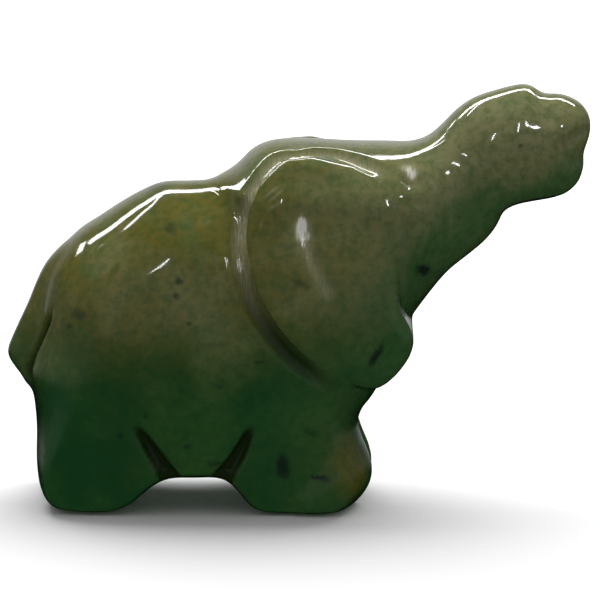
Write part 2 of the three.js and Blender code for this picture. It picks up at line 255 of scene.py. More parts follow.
EAR = Outline((
    (-1.3, 61.5), (1.1, 61.8), (4.5, 61.2), (8.3, 60.2), (11.9, 58.5), (14.6, 56.3), (16.4, 53.6),
    (17.2, 50.0), (17.3, 44.9), (17.3, 39.4), (17.8, 36.0), (18.9, 33.8), (20.0, 31.5), (19.8, 28.9),
    (18.5, 26.4), (16.8, 24.3), (14.8, 22.7), (12.6, 21.9), (9.8, 23.3), (7.0, 24.7), (3.9, 26.5),
    (1.0, 28.7), (-1.9, 31.7), (-4.3, 34.9), (-6.4, 38.2), (-7.8, 41.9), (-8.6, 46.1), (-8.4, 50.2),
    (-7.6, 54.0), (-5.7, 57.2), (-3.6, 59.8),
))
TAIL = Outline((
    (-39.1, 44.0), (-42.5, 41.8), (-44.5, 38.7), (-46.2, 34.7), (-47.8, 31.2), (-49.3, 27.9),
    (-50.0, 25.6), (-48.9, 23.5), (-47.5, 21.7), (-46.5, 20.3), (-45.4, 20.5), (-44.2, 24.3),
    (-42.5, 29.5), (-39.7, 34.7), (-36.7, 40.3),
))


@dataclass
class Stone:
    """The rounded stone before the wheel cuts it: outlines with widths, run into each other.

    Middles, heights, reaches, spans and the arch are in hundredths of the length, the rest in millimetres.
    """

    body_width: float = 31.0
    feet_width: float = 25.0
    head_width: float = 28.0
    ear_spread: float = 33.0
    ear_top_spread: float = 20.0
    trunk_width: float = 16.0
    trunk_tip_width: float = 12.5
    tail_width: float = 6.0
    toes_width: float = 28.0
    leg_gap: float = 4.6
    back_rounding: float = 9.0
    foot_rounding: float = 1.3
    head_rounding: float = 7.5
    tip_rounding: float = 5.0
    ear_edge: float = 1.5
    tail_rounding: float = 2.4
    toe_rounding: float = 4.0
    neck_blend: float = 3.0
    tail_blend: float = 1.6
    toe_blend: float = 2.0
    ear_blend: float = 0.5
    slot_blend: float = 1.2
    slot_edge: float = 0.5
    sole_blend: float = 0.7
    barrel_middle: float = -17.0
    barrel_height: float = 29.6
    end_reach: float = 28.0
    back_reach: float = 26.2
    ear_middle: float = 4.0
    ear_height: float = 34.0
    face_span: Pair = (16.0, 30.0)
    tip_span: Pair = (34.0, 50.0)
    rounding_span: Pair = (2.0, 30.0)
    arch_height: float = 5.5
    arch_rise: float = 14.5
    arch_reach: float = 35.0
    probe: float = 0.12
    longest_step: float = 0.6
    depth_step: float = 0.1
    maps: dict[str, Array] = field(default_factory=dict)

    def outlines(self) -> dict[str, Outline]:
        """Names each outline of the side view."""
        return {"body": BODY, "toes": TOES, "head": HEAD, "ear": EAR, "tail": TAIL}

    def saw(self) -> None:
        """Works out the inset of every outline, once."""
        self.maps = {name: outline.inset_map() for name, outline in self.outlines().items()}

    def body_half_width(self, x: Array, z: Array) -> Array:
        """Gives the barrel's half width, narrower at the back, the feet and the rump.

        Args:
            x: Places along the carving, in millimetres.
            z: Heights.

        Returns:
            The half width at each place.
        """
        up = np.clip((z / SHARE - self.barrel_height) / self.back_reach, 0.0, 1.0)
        down = np.clip(1.0 - z / SHARE / self.barrel_height, 0.0, 1.0)
        along = np.clip((x / SHARE - self.barrel_middle) / self.end_reach, -1.0, 1.0)
        width = self.body_width + (self.feet_width - self.body_width) * down * down
        return width / 2 * (1.0 - 0.3 * up * up - 0.08 * along * along)

    def head_half_width(self, x: Array) -> Array:
        """Gives the half width of skull and trunk, narrower towards the tip.

        Args:
            x: Places along the carving, in millimetres.

        Returns:
            The half width at each place.
        """
        face = smooth_step(*self.face_span, x / SHARE)
        tip = smooth_step(*self.tip_span, x / SHARE)
        width = self.head_width + (self.trunk_width - self.head_width) * face
        return (width + (self.trunk_tip_width - width) * tip) / 2

    def ear_half_width(self, x: Array, z: Array) -> Array:
        """Gives how far the ears stand out, falling in towards their edges.

        Args:
            x: Places along the carving, in millimetres.
            z: Heights.

        Returns:
            The half width at each place.
        """
        up = np.clip((z / SHARE - self.ear_height) / 28.0, 0.0, 1.0)
        down = np.clip((self.ear_height - z / SHARE) / 12.0, 0.0, 1.0)
        along = np.clip((x / SHARE - self.ear_middle) / 14.0, -1.0, 1.0)
        turn = np.where(along > 0, 0.11, 0.03) * along * along + 0.1 * down * down
        return (self.ear_spread + (self.ear_top_spread - self.ear_spread) * up * up) / 2 * (1.0 - turn)

    @staticmethod
    def rounded(inset: Array, half: Array | float, rounding: Array | float, across: Array) -> Array:
        """Gives the distance outside an outline's rounded form.

        Args:
            inset: How far inside the outline each place is.
            half: The form's half width there.
            rounding: How far in from the outline it reaches that width.
            across: Distance from the middle plane.

        Returns:
            The distance in millimetres, negative inside.
        """
        edge = np.maximum(1.0 - inset / rounding, 0.0)
        return (np.hypot(across / half, edge) - 1.0) * np.minimum(half, rounding)

    @staticmethod
    def slab(inset: Array, half: Array, edge: float, across: Array) -> Array:
        """Gives the distance outside a slab of an outline's shape with round edges.

        Args:
            inset: How far inside the outline each place is.
            half: The slab's half width there.
            edge: Radius of its edges.
            across: Distance from the middle plane.

        Returns:
            The distance in millimetres, negative inside.
        """
        beside, beyond = across - (half - edge), edge - inset
        outside = np.hypot(np.maximum(beside, 0.0), np.maximum(beyond, 0.0))
        return outside + np.minimum(np.maximum(beside, beyond), 0.0) - edge

    def distance(self, places: Array) -> Array:
        """Gives how far each place is outside the stone.

        Args:
            places: Places in millimetres, one a row.

        Returns:
            The distances, negative inside.
        """
        x, across, z = places[:, 0], np.abs(places[:, 1]), places[:, 2]
        inset = {name: line.read(self.maps[name], x, z) for name, line in self.outlines().items()}
        low = smooth_step(*self.rounding_span, z / SHARE)
        back = self.foot_rounding + (self.back_rounding - self.foot_rounding) * low
        tip = smooth_step(*self.tip_span, x / SHARE)
        crown = self.head_rounding + (self.tip_rounding - self.head_rounding) * tip
        body_half = self.body_half_width(x, z)
        toes_half = body_half * self.toes_width / self.body_width
        body = self.rounded(inset["body"], body_half, back, across)
        head = self.rounded(inset["head"], self.head_half_width(x), crown, across)
        toes = self.rounded(inset["toes"], toes_half, self.toe_rounding, across)
        tail = self.rounded(inset["tail"], self.tail_width / 2, self.tail_rounding, across)
        ear = self.slab(inset["ear"], self.ear_half_width(x, z), self.ear_edge, across)
        stone = smooth_min(body, head, self.neck_blend)
        stone = smooth_min(stone, toes, self.toe_blend)
        stone = smooth_min(stone, tail, self.tail_blend)
        stone = smooth_min(stone, ear, self.ear_blend)
        stone = smooth_max(stone, -self.leg_slot(x, across, z), self.slot_edge)
        return smooth_max(stone, -z, self.sole_blend)

    def leg_slot(self, x: Array, across: Array, z: Array) -> Array:
        """Gives the distance outside the slot that parts the legs under its arch.

        Args:
            x: Places along the carving, in millimetres.
            across: Distances from the middle plane.
            z: Heights.

        Returns:
            The distance in millimetres, negative inside the slot.
        """
        from_middle = (x / SHARE - self.barrel_middle) / self.arch_reach
        arch = (self.arch_height + self.arch_rise * from_middle**2) * SHARE
        return smooth_max(across - self.leg_gap / 2, z - arch, self.slot_blend)

    def slope(self, places: Array) -> Array:
        """Gives the gradient of the distance at each place.

        Args:
            places: Places in millimetres, one a row.

        Returns:
            The gradients, one a row, which point away from the stone.
        """
        sides = []
        for axis in range(3):
            step = np.zeros(3)
            step[axis] = self.probe
            rise = self.distance(places + step) - self.distance(places - step)
            sides.append(rise / (2 * self.probe))
        return np.stack(sides, axis=1)

    def settle(self, places: Array, rounds: int) -> Array:
        """Moves places near the stone's skin onto it.

        Args:
            places: Places in millimetres, one a row.
            rounds: How often to correct them.

        Returns:
            The moved places.
        """
        for _ in range(rounds):
            slope = self.slope(places)
            steep = np.maximum((slope * slope).sum(axis=1), 0.1)
            step = np.clip(self.distance(places) / steep, -self.longest_step, self.longest_step)
            places = places - slope * step[:, None]
        return places

    def near_side(self, x: Array, z: Array) -> Array:
        """Finds the near side's skin at places of the side view.

        Args:
            x: Places along the carving, in millimetres.
            z: Heights.

        Returns:
            Points of the skin, one a row, on the middle plane where there is no stone.
        """
        depth = np.arange(0.0, self.ear_spread, self.depth_step)
        across = np.zeros(len(x))
        for n, (px, pz) in enumerate(zip(x, z)):
            column = np.column_stack([np.full(len(depth), px), depth, np.full(len(depth), pz)])
            within = np.nonzero(self.distance(column) < 0.0)[0]
            across[n] = depth[within[-1]] if len(within) else 0.0
        return np.column_stack([x, -across, z])


class Tool(Enum):
    """The edge of the wheel that makes a mark."""

    ROUND = "a rounded cove"
    KEEN = "a narrow crease with a soft lip"
    BUFF = "a broad hollow that blends away"


@dataclass(frozen=True)
class Mark:
    """One mark on the near side, and its mirror image on the far side.

    Sizes are in millimetres and the path in hundredths of the length. Matte tells how dull the wheel
    left it, the crease shade how dark its bottom is painted as shade, and frost how white it is painted:
    a grey bloom at first, partly scratched stone and partly painted sheen, and above 1 a white scar that
    on the ear's fold and the eye is a painted highlight. Over the unshaded share of its start it is
    whitened and not painted dark. Fades are the runs in from both ends over which it gets shallow, and
    widening tells how much narrower than its width it starts.
    """

    name: str
    path: Points
    width: float
    depth: float
    tool: Tool = Tool.ROUND
    matte: float = 0.6
    crease_shade: float = 0.0
    clean: float = 0.0
    frost_and_glint: float = 0.0
    fades: Pair = (5.0, 5.0)
    widening: float = 0.0

    def profile(self, reach: Array) -> Array:
        """Gives the share of the full depth at a distance from the path.

        Args:
            reach: Distance from the path, as a share of half the width.

        Returns:
            The share, 1 at the middle and a little below 0 where the tool raises a lip.
        """
        if self.tool is Tool.ROUND:
            lip = 0.05 * np.exp(-((reach - 1.25) ** 2) / 0.04)
            return np.clip(1.0 - reach * reach, 0.0, 1.0) ** 0.9 - lip
        if self.tool is Tool.KEEN:
            lip = 0.16 * np.exp(-((reach - 1.3) ** 2) / 0.18)
            return np.exp(-2.2 * np.abs(reach) ** 1.4) - lip
        return np.exp(-2.0 * reach * reach)

    def track(self, stone: Stone) -> Array:
        """Lays the mark's path on the stone.

        Args:
            stone: The stone that it is cut into.

        Returns:
            Points of the path on the near side in millimetres, one a row, evened to run smoothly.
        """
        line = flowing_line(np.array(self.path) * SHARE, closed=False, per_span=10)
        track = stone.near_side(line[:, 0], line[:, 1])
        for _ in range(TRACK_ROUNDS):
            track[1:-1] = (track[:-2] + 2 * track[1:-1] + track[2:]) / 4
        return track

    @staticmethod
    def measure(track: Array, spots: Array) -> tuple[Array, Array, float]:
        """Measures how places lie to a path.

        Args:
            track: The path's points.
            spots: The places.

        Returns:
            Each place's distance from the path, how far along the path that is, and the path's length.
        """
        run = np.concatenate([[0.0], np.cumsum(np.linalg.norm(np.diff(track, axis=0), axis=1))])
        gap = np.full(len(spots), np.inf)
        along = np.zeros(len(spots))
        for n in range(len(track) - 1):
            start, step = track[n], track[n + 1] - track[n]
            t = np.clip((spots - start) @ step / max(step @ step, 1e-9), 0.0, 1.0)
            away = np.linalg.norm(spots - start - t[:, None] * step, axis=1)
            closer = away < gap
            gap = np.where(closer, away, gap)
            along = np.where(closer, run[n] + t * (run[n + 1] - run[n]), along)
        return gap, along, float(run[-1])

    def cut(self, stone: Stone, places: Array) -> tuple[Array, Array]:
        """Gives how deep the mark is at each place, and whether it is in its part painted dark as shade.

        Args:
            stone: The stone that it is cut into.
            places: Places on the skin, mirrored to the near side.

        Returns:
            The depth in millimetres, and from 0 to 1 how much of the painted crease shade shows, at each
            place.
        """
        track = self.track(stone)
        margin = MARK_MARGIN * self.width
        inside = (places > track.min(axis=0) - margin) & (places < track.max(axis=0) + margin)
        chosen = np.nonzero(np.all(inside, axis=1))[0]
        gap, along, length = self.measure(track, places[chosen])
        share = along / length
        fade = smooth_step(-FADE_START, self.fades[0], along)
        fade = fade * smooth_step(-FADE_START, self.fades[1], length - along)
        width = self.width * (1.0 - self.widening * (1.0 - share))
        depth, dark = np.zeros(len(places)), np.zeros(len(places))
        depth[chosen] = self.depth * fade * self.profile(gap / (width / 2))
        # dark is where the painted crease shade shows; over the unshaded share of the start it does not.
        dark[chosen] = 1.0
        if self.clean > 0:
            dark[chosen] = smooth_step(self.clean - UNSHADED_BLEND, self.clean + UNSHADED_BLEND, share)
        return depth, dark


# Each mark's crease shade paints shade into the bottom of its groove; its frost whitens scratched stone and
# paints the highlights of the ear's fold and the eye.
MARKS = (
    Mark("around_ear", (
        (15.9, 58.0), (13.6, 59.3), (10.4, 60.6), (6.3, 61.5), (1.9, 61.8), (-1.8, 61.5), (-4.5, 60.2),
        (-6.8, 57.8), (-8.6, 54.5), (-9.5, 50.4), (-9.7, 46.1), (-8.9, 41.5), (-7.4, 37.4), (-5.3, 34.0),
        (-3.1, 31.0), (-0.6, 28.3), (2.3, 26.0), (5.3, 24.1), (8.6, 22.6),
    ), 2.7, 0.8, matte=0.25, crease_shade=0.9, clean=0.66, frost_and_glint=0.75, fades=(5.0, 8.0)),
    Mark("ear_fold", ((0.3, 54.4), (0.8, 51.7), (1.5, 47.9), (2.8, 44.4), (4.7, 40.7), (6.4, 37.4)),
         2.4, 0.55, Tool.BUFF, matte=0.4, frost_and_glint=0.5, fades=(4.0, 3.0)),
    # Painted highlight: the white glint on the ear's fold.
    Mark("fold_highlight", ((0.9, 52.6), (0.9, 50.4), (1.4, 48.0)), 2.4, 0.25, Tool.BUFF, matte=0.9,
         frost_and_glint=3.0, fades=(1.0, 1.0), widening=0.4),
    Mark("before_ear", ((15.6, 56.2), (17.3, 53.7), (18.1, 49.9), (18.2, 44.7), (18.1, 39.4), (18.3, 36.8)),
         1.6, 0.3, matte=0.3, crease_shade=0.1, frost_and_glint=0.12),
    Mark("behind_belly", ((-27.6, 16.9), (-25.9, 13.9), (-24.0, 10.9), (-22.6, 8.6), (-21.0, 5.8)),
         4.0, 1.3, matte=0.4, crease_shade=2.2, fades=(3.0, 0.4), widening=0.7),
    Mark("before_belly", ((-7.6, 16.9), (-8.6, 13.9), (-10.0, 10.9), (-11.6, 8.4), (-13.3, 5.8)),
         4.0, 1.3, matte=0.4, crease_shade=2.2, fades=(3.0, 0.4), widening=0.7),
    Mark("beside_tail", (
        (-41.3, 36.1), (-42.6, 32.6), (-43.8, 29.5), (-45.0, 26.4), (-45.9, 23.4), (-46.4, 20.1),
    ), 1.8, 0.8, matte=0.15, crease_shade=1.1),
    Mark("mouth", ((43.6, 61.9), (45.4, 62.9), (47.1, 63.9), (48.8, 64.8), (50.3, 65.0)), 1.8, 0.4,
         matte=0.2, crease_shade=0.2, frost_and_glint=0.15, fades=(3.0, 3.0)),
    Mark("notch", ((43.7, 66.0), (43.3, 67.6), (43.0, 69.0)), 2.2, 0.35, Tool.BUFF, matte=0.0,
         fades=(1.5, 1.5)),
    Mark("heel_nick", ((-45.6, 13.6), (-44.5, 11.6), (-43.3, 10.0)), 0.7, 0.25, crease_shade=0.9,
         fades=(1.0, 1.0)),
    Mark("eye", ((18.4, 59.3), (19.6, 57.9), (20.9, 56.3)), 3.2, 0.75, matte=0.1, crease_shade=0.2, frost_and_glint=0.15,
         fades=(1.5, 1.5)),
    Mark("brow", ((17.0, 54.9), (19.5, 54.2), (22.5, 54.4)), 1.3, 0.3, Tool.KEEN, matte=0.1,
         fades=(1.5, 1.5)),
    Mark("scratch_upper", ((-5.6, 55.1), (-4.4, 56.2), (-3.2, 57.2)), 0.5, 0.05, Tool.BUFF,
         frost_and_glint=0.5, fades=(0.6, 0.6)),
    Mark("scratch_middle", ((-4.8, 54.6), (-3.6, 55.6), (-2.2, 56.7)), 0.4, 0.04, Tool.BUFF,
         frost_and_glint=0.45, fades=(0.6, 0.6)),
    Mark("scratch_lower", ((-4.9, 53.4), (-3.8, 54.0), (-2.6, 54.8)), 0.5, 0.04, Tool.BUFF,
         frost_and_glint=0.4, fades=(0.6, 0.6)),
    Mark("eye_glint", ((18.4, 60.2), (19.5, 59.2), (20.6, 58.2)), 2.4, 0.1, Tool.BUFF, matte=0.5,
         frost_and_glint=1.5, fades=(1.0, 1.0)),
    Mark("neck_crease", ((22.0, 58.6), (23.6, 56.6), (24.6, 55.0)), 0.9, 0.12, Tool.KEEN, matte=0.4,
         frost_and_glint=0.35, fades=(1.2, 1.2)),
)


@dataclass(frozen=True)
class Fade:
    """A change from start to end while a value rises from low to high, held level beyond them."""

    low: float
    high: float
    start: float = 0.0
    end: float = 1.0
    smooth: bool = True


@dataclass(frozen=True)
class Grain:
    """A noise texture: its scale, its detail, its roughness and how much it is twisted."""

    scale: float
    detail: float = 3.0
    rough: float = 0.5
    twist: float = 0.0


@dataclass(frozen=True)
class Streaks:
    """A noise drawn out into streaks: its turn in radians, its scale along each axis and its grain."""

    turn: Triple
    scale: Triple
    grain: Grain


class Graph:
    """A short way to lay out the nodes of a material or of the room."""

    def __init__(self, owner: bpy.types.Material | bpy.types.World) -> None:
        """Starts with no nodes."""
        owner.use_nodes = True
        self.tree = owner.node_tree
        self.tree.nodes.clear()

    def node(self, kind: str, settings: dict[str, object] | None = None, **inputs: object) -> bpy.types.Node:
        """Adds a node.

        Args:
            kind: The node's type name, without its ShaderNode beginning.
            settings: The node's own properties.
            **inputs: Values or sockets for its inputs. An underscore stands for a space, and a name
                of one letter and a number is the input of that number.

        Returns:
            The new node.
        """
        made = self.tree.nodes.new("ShaderNode" + kind)
        for name, value in (settings or {}).items():
            setattr(made, name, value)
        for name, value in inputs.items():
            key = int(name[1:]) if name[1:].isdigit() and len(name) <= 3 else name.replace("_", " ")
            if isinstance(value, Socket):
                self.tree.links.new(value, made.inputs[key])
            else:
                made.inputs[key].default_value = value
        return made

    def math(self, how: str, *values: object) -> Socket:
        """Adds a Math node.

        Args:
            how: The operation's name.
            *values: Values or sockets for its inputs.

        Returns:
            The result's socket.
        """
        made = self.node("Math", {"operation": how}, **{f"i{n}": value for n, value in enumerate(values)})
        return made.outputs[0]

    def product(self, first: object, *others: object) -> object:
        """Multiplies values or sockets.

        Args:
            first: A value or a socket.
            *others: What it is multiplied by, one after the other.

        Returns:
            The product's socket.
        """
        for other in others:
            first = self.math("MULTIPLY", first, other)
        return first

    def vector(self, how: str, one: object, **other: object) -> bpy.types.Node:
        """Adds a VectorMath node and returns it."""
        return self.node("VectorMath", {"operation": how}, i0=one, **other)

    def mix(self, share: object, one: object, other: object) -> Socket:
        """Mixes two colours by the share of the other one and returns the result."""
        return self.node("Mix", {"data_type": "RGBA"}, i0=share, i6=one, i7=other).outputs[2]

    def ramp(self, value: object, fade: Fade) -> Socket:
        """Fades a value.

        Args:
            value: The value or its socket.
            fade: The change that it goes through.

        Returns:
            The result's socket.
        """
        settings = {"interpolation_type": "SMOOTHSTEP" if fade.smooth else "LINEAR"}
        made = self.node(
            "MapRange", settings, i0=value, i1=fade.low, i2=fade.high, i3=fade.start, i4=fade.end
        )
        return made.outputs[0]

    def noise(self, where: object, grain: Grain) -> Socket:
        """Adds a noise texture.

        Args:
            where: The coordinates that it is laid on.
            grain: The noise's character.

        Returns:
            The noise's socket.
        """
        made = self.node(
            "TexNoise", Vector=where, Scale=grain.scale, Detail=grain.detail, Roughness=grain.rough,
            Distortion=grain.twist,
        )
        return made.outputs[0]

    def streaks(self, where: object, streaks: Streaks) -> Socket:
        """Adds a noise drawn out into streaks and returns its value."""
        drawn = self.node("Mapping", Vector=where, Rotation=streaks.turn, Scale=streaks.scale)
        return self.noise(drawn.outputs[0], streaks.grain)


@dataclass(frozen=True)
class Speck:
    """A dark inclusion: its place in hundredths of the length and its size in millimetres.

    Lean is its turn in radians, stretch how many times longer than high it is, and strength how dark.
    """

    x: float
    z: float
    size: float
    lean: float = 0.0
    stretch: float = 1.0
    strength: float = 0.75


@dataclass(frozen=True)
class Bed:
    """What the layers of the jade's colour share: places, clouds, and how far forward a place is."""

    where: Socket
    drift: Socket
    cloud: Socket
    trunk: Socket
    ahead: Socket


@dataclass(frozen=True)
class Jade:
    """Polished nephrite: olive above as painted light and deep green below as painted shade, clouded, with
    small dark inclusions.

    Places and heights are in metres, like the coordinates that the nodes read.
    """

    # Olive is painted as the stone in light from above, green and deep as the stone in shade below; the
    # clouds also use deep.
    olive: Colour = (0.140, 0.128, 0.022, 1.0)
    grey: Colour = (0.175, 0.180, 0.070, 1.0)
    light_grey: Colour = (0.290, 0.285, 0.140, 1.0)
    pale: Colour = (0.203, 0.207, 0.088, 1.0)
    green: Colour = (0.030, 0.108, 0.026, 1.0)
    grey_green: Colour = (0.080, 0.152, 0.052, 1.0)
    deep: Colour = (0.012, 0.075, 0.021, 1.0)
    # Painted shade at the bottom of the creases.
    crease_shade_colour: Colour = (0.012, 0.026, 0.005, 1.0)
    # A grey bloom, partly scratched stone and partly painted sheen, and a white that is a painted highlight
    # on the ear's fold and the eye.
    frost_and_glint: Colour = (0.430, 0.410, 0.250, 1.0)
    glint_and_scar: Colour = (0.900, 0.900, 0.820, 1.0)
    dark: Colour = (0.014, 0.030, 0.018, 1.0)
    ior: float = 1.6
    drift_grain: Grain = Grain(45.0, 4.0, 0.55, 0.4)
    cloud_grain: Grain = Grain(120.0, 7.0, 0.6, 0.2)
    trunk_run: Fade = Fade(0.012, 0.020)
    ahead_run: Fade = Fade(-0.012, 0.02)
    front_start: float = 0.006
    front_rise: float = 0.35
    throat_rise: Fade = Fade(0.009, 0.017, 0.0, 0.009, smooth=False)
    unevenness: float = 0.012
    middle_height: float = 0.0212
    lit_share_run: Fade = Fade(0.0130, 0.0290)
    trunk_light: float = 0.55
    paling: Fade = Fade(0.38, 0.66, 0.0, 0.72)
    mottle_grain: Grain = Grain(210.0, 5.0, 0.62, 0.6)
    mottling: Fade = Fade(0.5, 0.72, 0.0, 0.5)
    greening: Fade = Fade(0.3, 0.7)
    ahead_grey: float = 0.5
    trunk_grey: float = 0.6
    veil_grain: Grain = Grain(85.0, 5.0, 0.6, 0.5)
    veiling: Fade = Fade(0.42, 0.66, 0.0, 0.1)
    # Painted light: an olive patch on the front toe, where it faces up and forward into the light.
    lit_toe_place: Triple = (0.0080, -0.0115, 0.0062)
    lit_toe_unevenness: float = 0.004
    lit_toe_run: Fade = Fade(0.0024, 0.0064, 0.85, 0.0)
    fine_grain: Grain = Grain(900.0, 5.0, 0.65, 0.2)
    clouding: Fade = Fade(0.38, 0.68, 0.0, 0.42)
    hairs: Streaks = Streaks((0.0, 0.12, 0.0), (420.0, 2600.0, 4200.0), Grain(1.0, 4.0, 0.65, 0.3))
    hair_run: Fade = Fade(0.6, 0.78, 0.0, 0.3)
    patch_grain: Grain = Grain(160.0)
    patch_run: Fade = Fade(0.45, 0.65, 0.1, 1.0)
    crease_shade_share: float = 0.93
    whitening_streaks: Streaks = Streaks((0.0, 0.35, 0.0), (5000.0, 900.0, 500.0), Grain(1.0, 3.0, 0.6))
    whitening_streak_run: Fade = Fade(0.25, 0.7, 0.35, 1.0)
    glint_and_scar_run: Fade = Fade(0.45, 1.6, 0.0, 0.95)
    roughness: float = 0.06
    haze_grain: Grain = Grain(260.0, 5.0, 0.6)
    haze_run: Fade = Fade(0.35, 0.75, 0.0, 0.04)
    cut_roughness: float = 0.34
    scratches: Streaks = Streaks((0.0, 0.6, 0.2), (300.0, 300.0, 9000.0), Grain(1.0, 2.0))
    scratch_depth: float = 0.8
    pit_grain: Grain = Grain(1600.0)
    pit_depth: float = 0.3
    speck_core: float = 0.15
    speck_rim: float = 0.7
    ragged_scale: float = 900.0
    ragged_reach: float = 0.0011
    specks: tuple[Speck, ...] = tuple(Speck(*row) for row in (
        (-24.2, 54.9, 3.6, 0.3, 1.0, 0.35), (-21.6, 49.3, 1.3, 0.2, 1.3, 0.5),
        (-20.2, 40.9, 1.0, 0.3, 1.2, 0.75), (-20.5, 38.6, 0.7, 0.8, 1.6, 0.6),
        (-36.9, 35.0, 1.4, 0.2, 1.4, 0.55), (-38.6, 32.8, 0.8, 0.0, 1.2, 0.6),
        (-18.2, 33.7, 0.6, 0.0, 1.0, 0.5), (-6.6, 27.4, 0.6, 0.0, 2.4, 0.6),
        (13.1, 28.5, 1.05, -1.0, 3.4, 1.0), (21.0, 42.0, 1.6, 0.6, 1.5, 1.0),
        (-2.6, 9.0, 1.8, 1.45, 2.1, 1.0), (3.6, 7.0, 0.9, 0.1, 3.0, 1.0),
        (-30.0, 14.6, 1.0, 0.0, 1.0, 0.6), (-25.6, 18.1, 0.9, 0.0, 1.0, 0.5),
        (-13.2, 23.3, 0.6, 0.0, 2.0, 0.5), (-18.7, 12.6, 0.8, 0.0, 1.5, 0.6),
        (0.3, 41.0, 1.1, 0.4, 2.6, 0.45), (37.5, 62.5, 0.7, 0.0, 1.0, 0.6),
        (-14.0, 9.6, 0.9, 0.0, 2.0, 0.6), (2.2, 15.0, 1.1, 0.3, 2.0, 0.4),
    ))

    def clouded_height(self, g: Graph, x: Socket, z: Socket, bed: Bed) -> Socket:
        """Gives the height at which the painted shade of the green lower half turns to the olive painted as
        lit from above.

        Args:
            g: The material's graph.
            x: Place along the carving.
            z: Height.
            bed: The clouds that make the border uneven.

        Returns:
            The height, taken as lower towards the front and changing faster at the trunk.
        """
        front = g.product(g.math("MAXIMUM", g.math("ADD", x, self.front_start), 0.0), self.front_rise)
        height = g.math("SUBTRACT", g.math("SUBTRACT", z, front), g.ramp(x, self.throat_rise))
        for waves in (bed.drift, g.math("SUBTRACT", bed.cloud, NOISE_MIDDLE)):
            height = g.math("ADD", height, g.product(waves, self.unevenness))
        above = g.math("SUBTRACT", height, self.middle_height)
        return g.math("ADD", height, g.product(above, bed.trunk))

    def upper(self, g: Graph, bed: Bed) -> Socket:
        """Lays out the olive of the upper half, the stone's colour painted as lit from above.

        Args:
            g: The material's graph.
            bed: What the colour's layers share.

        Returns:
            The colour's socket.
        """
        colour = g.mix(bed.ahead, self.olive, self.grey)
        colour = g.mix(g.product(bed.trunk, self.trunk_light), colour, self.light_grey)
        colour = g.mix(g.ramp(bed.cloud, self.paling), colour, self.pale)
        mottle = g.ramp(g.noise(bed.where, self.mottle_grain), self.mottling)
        return g.mix(mottle, colour, self.grey_green)

    def lower(self, g: Graph, bed: Bed) -> Socket:
        """Lays out the green of the lower half, painted as the stone in shade.

        Args:
            g: The material's graph.
            bed: What the colour's layers share.

        Returns:
            The colour's socket.
        """
        colour = g.mix(g.ramp(bed.cloud, self.greening), self.deep, self.green)
        colour = g.mix(g.product(bed.ahead, self.ahead_grey), colour, self.grey_green)
        colour = g.mix(g.product(bed.trunk, self.trunk_grey), colour, self.grey_green)
        veil = g.ramp(g.noise(bed.where, self.veil_grain), self.veiling)
        return g.mix(veil, colour, self.olive)

    def speck_mask(self, g: Graph, where: Socket) -> Socket:
        """Lays out the dark inclusions with ragged edges.

        Args:
            g: The material's graph.
            where: Coordinates on the stone.

        Returns:
            How dark the stone is there, from 0 to 1.
        """
        shake = g.node("TexNoise", Vector=where, Scale=self.ragged_scale, Detail=3.0).outputs["Color"]
        shake = g.vector("SUBTRACT", shake, i1=(NOISE_MIDDLE,) * 3).outputs[0]
        shake = g.vector("SCALE", shake, i3=self.ragged_reach).outputs[0]
        ragged = g.vector("ADD", where, i1=shake).outputs[0]
        mask = None
        for speck in self.specks:
            turned = g.node(
                "Mapping", {"vector_type": "TEXTURE"}, Vector=ragged,
                Location=(speck.x * SHARE * MM, 0.0, speck.z * SHARE * MM), Rotation=(0.0, speck.lean, 0.0),
                Scale=(speck.stretch, 1.0, 1.0),
            )
            x, _, z = g.node("SeparateXYZ", Vector=turned.outputs[0]).outputs
            away = g.math("SQRT", g.math("ADD", g.product(x, x), g.product(z, z)))
            core, rim = (share * speck.size * MM for share in (self.speck_core, self.speck_rim))
            spot = g.ramp(away, Fade(core, rim, speck.strength, 0.0))
            mask = spot if mask is None else g.math("MAXIMUM", mask, spot)
        return mask

    def whitened(self, g: Graph, bed: Bed, frost_and_glint: Socket, colour: Socket) -> Socket:
        """Whitens the marks: scratched stone, and painted highlights where the whitening runs highest.

        Args:
            g: The material's graph.
            bed: What the colour's layers share.
            frost_and_glint: How white the marks are.
            colour: The stone's colour so far.

        Returns:
            The colour with a grey bloom, and with a white where the whitening runs highest, which on the
            ear's fold and the eye is a painted highlight.
        """
        streaked = g.ramp(g.streaks(bed.where, self.whitening_streaks), self.whitening_streak_run)
        colour = g.mix(g.product(g.math("MINIMUM", frost_and_glint, 1.0), streaked), colour, self.frost_and_glint)
        return g.mix(g.ramp(g.product(frost_and_glint, streaked), self.glint_and_scar_run), colour, self.glint_and_scar)

    def dullness(self, g: Graph, bed: Bed, cut: Socket) -> Socket:
        """Gives the surface's roughness: hazy in patches, and duller in the marks.

        Args:
            g: The material's graph.
            bed: What the layers share.
            cut: How much each place is cut.

        Returns:
            The roughness's socket.
        """
        haze = g.ramp(g.noise(bed.where, self.haze_grain), self.haze_run)
        return g.math("ADD", g.math("ADD", haze, self.roughness), g.product(cut, self.cut_roughness))

    def relief(self, g: Graph, bed: Bed, cut: Socket) -> Socket:
        """Gives the surface's direction, with small pits all over and scratches in the marks.

        Args:
            g: The material's graph.
            bed: What the layers share.
            cut: How much each place is cut.

        Returns:
            The direction's socket.
        """
        pits = g.product(g.noise(bed.where, self.pit_grain), self.pit_depth)
        lines = g.product(g.streaks(bed.where, self.scratches), cut, self.scratch_depth)
        height = g.math("ADD", pits, lines)
        return g.node("Bump", Strength=0.06, Distance=0.0001, Height=height).outputs[0]

